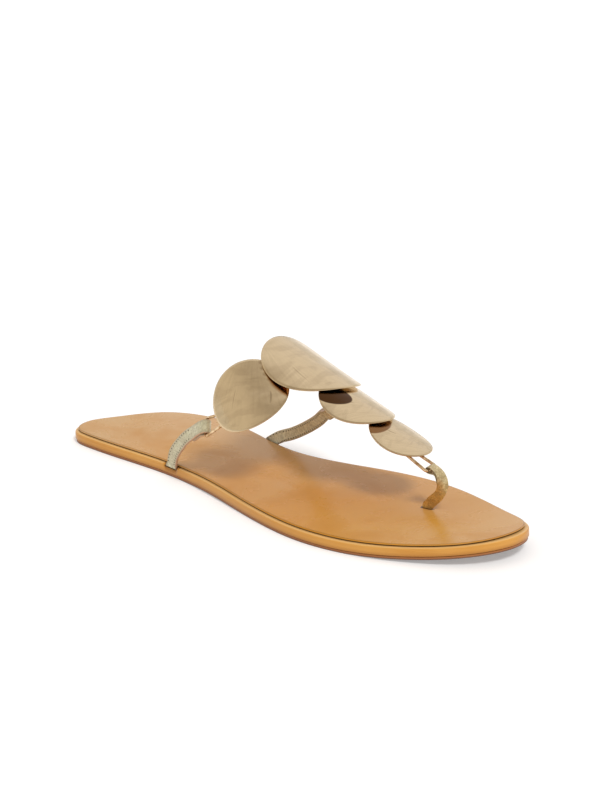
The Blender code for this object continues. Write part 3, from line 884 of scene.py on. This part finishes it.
def disc_look():
    """Polished champagne-gold sheet: a gentle hammered wave, fan-like streaks and cloudy tarnish.

    The sheet is painted darker, as shade, where the disc above lies close over it, and an oval on it
    is painted with a dark reflection of that disc.
    """
    look = Look("disc_metal", (0.62, 0.50, 0.34), 0.16, 1.0)
    flat = look.place(attribute="flat")
    painted_reflection = look.place(attribute="painted_reflection")
    brush = look.noise(look.place((24.0, 1.1, 1.0), "fan"), 1.0, 5.0, 0.62, 0.2)
    fine = look.noise(look.place((150.0, 2.4, 1.0), "fan"), 1.0, 3.0, 0.6)
    cloud = look.remap(look.noise(look.place((0.8, 1.9, 1.0), "flat"), 1.0, 3.0, 0.5, 1.4), 0.47, 0.56)
    streak = look.remap(brush, 0.44, 0.66)
    tone = look.mix(cloud, (0.670, 0.520, 0.315), (0.605, 0.465, 0.280))
    tone = look.mix(look.math("MULTIPLY", streak, 0.2), tone, (0.43, 0.32, 0.18))
    scratch = look.remap(look.noise(look.place((9.0, 0.9, 1.0), "fan"), 1.0, 2.0, 0.4, 0.4), 0.70, 0.73)
    tone = look.mix(look.math("MULTIPLY", scratch, 0.4), tone, (0.20, 0.13, 0.06))
    # Painted shade: darker where the disc above lies within about two millimetres.
    lap_shade = look.remap(look.value("lap"), 0.0004, 0.0018, 0.8, 0.0)
    tone = look.mix(lap_shade, tone, (0.20, 0.105, 0.035))
    # Painted reflection: a brown to near-black oval where the upper disc would be mirrored.
    brown = look.mix(look.part(painted_reflection, "Z"), (0.40, 0.190, 0.065), (0.075, 0.032, 0.010))
    inside = look.remap(look.length(look.place((1.0, 1.0, 0.0), "painted_reflection")), 0.94, 1.0, 1.0, 0.0)
    look.set("Base Color", look.mix(inside, tone, brown))
    look.set("Roughness", look.remap(fine, 0.3, 0.7, 0.13, 0.22))
    wave = look.bump(look.noise(flat, 1.7, 2.0, 0.4), 0.0008, 0.4)
    brushed = look.bump(brush, 0.00006, 0.2, wave)
    look.bump(fine, 0.00002, 0.25, brushed)
    return look.material


def wire_look():
    """Polished gold-coloured wire with slight tarnish."""
    look = Look("wire_metal", (0.83, 0.60, 0.36), 0.2, 1.0)
    cloud = look.remap(look.noise(look.place(), 420.0, 3.0), 0.42, 0.64)
    look.set("Base Color", look.mix(cloud, (0.80, 0.60, 0.37), (0.46, 0.27, 0.12)))
    look.set("Roughness", look.remap(cloud, 0.0, 1.0, 0.12, 0.32))
    look.bump(look.noise(look.place(), 900.0, 2.0), 0.00004, 0.4)
    return look.material


def thread_look():
    look = Look("thread", (0.60, 0.54, 0.38), 0.55)
    look.bump(look.noise(look.place(), 2500.0, 2.0), 0.0001, 0.6)
    return look.material


# Painted shade: the dark domes stand in for the shade inside the stitch holes.
def pinhole_shade_look():
    look = Look("pinhole_shade", (0.07, 0.05, 0.025), 0.85)
    look.bump(look.noise(look.place(), 2500.0, 2.0), 0.00005, 0.5)
    return look.material


# The shoe

insole_leather = insole_look()
midsole_leather = midsole_look()
outsole_leather = outsole_look()
lateral_leather = strap_look("lateral_strap_leather", (0.48, 0.44, 0.28), (0.64, 0.60, 0.41), 0.45)
# Painted light: the medial strap is the same leather painted paler, to make up for the shade it stands
# in.
medial_leather_painted_paler = strap_look("medial_strap_leather_painted_paler", (0.66, 0.63, 0.45), (0.88, 0.85, 0.63), 0.42)
post_leather = post_look()
disc_metal = disc_look()
wire_metal = wire_look()
thread = thread_look()
pinhole_shade = pinhole_shade_look()

outsole = sole_layer("outsole_sheet", "outsole", 0.0, OUTSOLE_ROUND, OUTSOLE_ROUND, outsole_leather)
midsole = sole_layer(
    "midsole_board", "midsole", -MIDSOLE_OUT, OUTSOLE_ROUND, MIDSOLE_ROUND, midsole_leather)
insole = sole_layer(
    "insole_sheet", "insole", INSOLE_IN, OUTSOLE_ROUND, INSOLE_ROUND, insole_leather,
    PAINTED_BORDER, TOE_INSET)

lateral = Strap("strap_lateral")
medial = Strap("strap_medial")
post = Strap("toe_post")
insole_top = heel_heights("insole")[1]
midsole_top = heel_heights("midsole")[1]
pocket(lateral, (midsole,), midsole_top + POCKET_RISE)
pocket(medial, (midsole,), midsole_top + POCKET_RISE)
pocket(post, (midsole, insole), insole_top + lift(float(post.middle[0][1])) + POCKET_RISE)

strap_piece("lateral_strap", "strap_lateral", lateral, lateral_leather)
strap_piece("medial_strap", "strap_medial", medial, medial_leather_painted_paler)
strap_piece("toe_post_strip", "toe_post", post, post_leather)
stitching("lateral_strap", lateral, STITCH_START, LATERAL_STITCH_END, thread, pinhole_shade)
stitching("medial_strap", medial, STITCH_START, MEDIAL_STITCH_END, thread, pinhole_shade)

for node, pivot, upper, painted_reflection in DISCS:
    disc_piece(node + "_plate", node, disc_metal, pivot, upper, painted_reflection)
for node in ("ring_lateral", "ring_medial", "ring_toe"):
    smooth_copy(node + "_wire", node, 2, wire_metal, 0.0, WIRE_SWELL)
for node in ("solder_disc_lateral", "solder_disc_third", "solder_disc_toe"):
    smooth_copy(node + "_blob", node, 2, wire_metal)


# Floor, light and camera

def floor():
    """A round white floor that curves up into a wall far away."""
    look = Look("floor", (0.70, 0.70, 0.70), 0.9)
    height = look.remap(look.part(look.place(), "Z"), 0.0, 1.0)
    look.set("Base Color", look.mix(height, (0.72, 0.72, 0.72), (0.50, 0.50, 0.50)))
    look.set("Emission Color", (1.0, 1.0, 1.0, 1.0))
    look.set("Emission Strength", 0.29)
    look.bump(look.noise(look.place(), 40.0, 2.0), 0.0001, 0.2)
    profile = [(FLOOR_MIDDLE, 0.0), (FLOOR_FLAT, 0.0)]
    for step in range(1, CURVE_STEPS + 1):
        angle = 0.5 * math.pi * step / CURVE_STEPS
        profile.append((FLOOR_FLAT + FLOOR_CURVE * math.sin(angle),
                        FLOOR_CURVE * (1.0 - math.cos(angle))))
    profile.append((FLOOR_FLAT + FLOOR_CURVE, FLOOR_WALL))
    verts = [np.zeros(3)]
    for radius, rise in profile:
        for k in range(FLOOR_SIDES):
            turn = 2.0 * math.pi * k / FLOOR_SIDES
            verts.append(np.array((radius * math.cos(turn), radius * math.sin(turn), rise)))
    faces = [(0, 1 + k, 1 + (k + 1) % FLOOR_SIDES) for k in range(FLOOR_SIDES)]
    for row in range(len(profile) - 1):
        here = 1 + row * FLOOR_SIDES
        beyond = here + FLOOR_SIDES
        for k in range(FLOOR_SIDES):
            nxt = (k + 1) % FLOOR_SIDES
            faces.append((here + k, beyond + k, beyond + nxt, here + nxt))
    add_mesh("floor", verts, faces, look.material)


def lamp():
    """One large soft lamp far away, which shines evenly over the floor and isn't mirrored."""
    data = bpy.data.lights.new("key", "SUN")
    data.energy = LAMP_STRENGTH
    data.angle = math.radians(LAMP_DEGREES)
    piece = bpy.data.objects.new("key", data)
    scene.collection.objects.link(piece)
    piece.location = LAMP_TOWARD
    piece.visible_glossy = False
    piece.rotation_mode = "QUATERNION"
    piece.rotation_quaternion = Vector(LAMP_TOWARD).to_track_quat("Z", "Y")


def studio():
    """A dim warm room, with a bright wall behind the shoe and a smaller warm patch high to the left."""
    world = bpy.data.worlds.new("studio")
    scene.world = world
    world.use_nodes = True
    nodes = world.node_tree.nodes
    links = world.node_tree.links
    direction = nodes.new("ShaderNodeTexCoord").outputs["Generated"]
    colour = ROOM_COLOUR
    for toward, start, end, bright in ROOM_PATCHES:
        facing = nodes.new("ShaderNodeVectorMath")
        facing.operation = "DOT_PRODUCT"
        links.new(direction, facing.inputs[0])
        facing.inputs[1].default_value = toward
        fade = nodes.new("ShaderNodeMapRange")
        links.new(facing.outputs["Value"], fade.inputs["Value"])
        fade.inputs["From Min"].default_value = start
        fade.inputs["From Max"].default_value = end
        blend = nodes.new("ShaderNodeMix")
        blend.data_type = "RGBA"
        links.new(fade.outputs["Result"], blend.inputs[0])
        if isinstance(colour, tuple):
            blend.inputs[6].default_value = colour
        else:
            links.new(colour, blend.inputs[6])
        blend.inputs[7].default_value = bright
        colour = blend.outputs[2]
    links.new(colour, nodes["Background"].inputs["Color"])
    scene.view_settings.view_transform = "Standard"


def camera():
    """The photograph's view: from the outer front quarter, slightly above, through a long lens."""
    back = Vector(CAMERA_BACK).normalized()
    level = Vector(CAMERA_LEVEL).normalized()
    upright = back.cross(level)
    right = math.cos(CAMERA_ROLL) * level - math.sin(CAMERA_ROLL) * upright
    up = math.sin(CAMERA_ROLL) * level + math.cos(CAMERA_ROLL) * upright
    data = bpy.data.cameras.new("camera")
    data.lens = CAMERA_LENS
    data.sensor_width = CAMERA_SENSOR
    data.clip_start = 0.05
    data.clip_end = 50.0
    eye = bpy.data.objects.new("camera", data)
    scene.collection.objects.link(eye)
    eye.matrix_world = Matrix((right, up, back)).transposed().to_4x4()
    eye.location = CAMERA_PLACE
    scene.camera = eye


floor()
studio()
lamp()
camera()
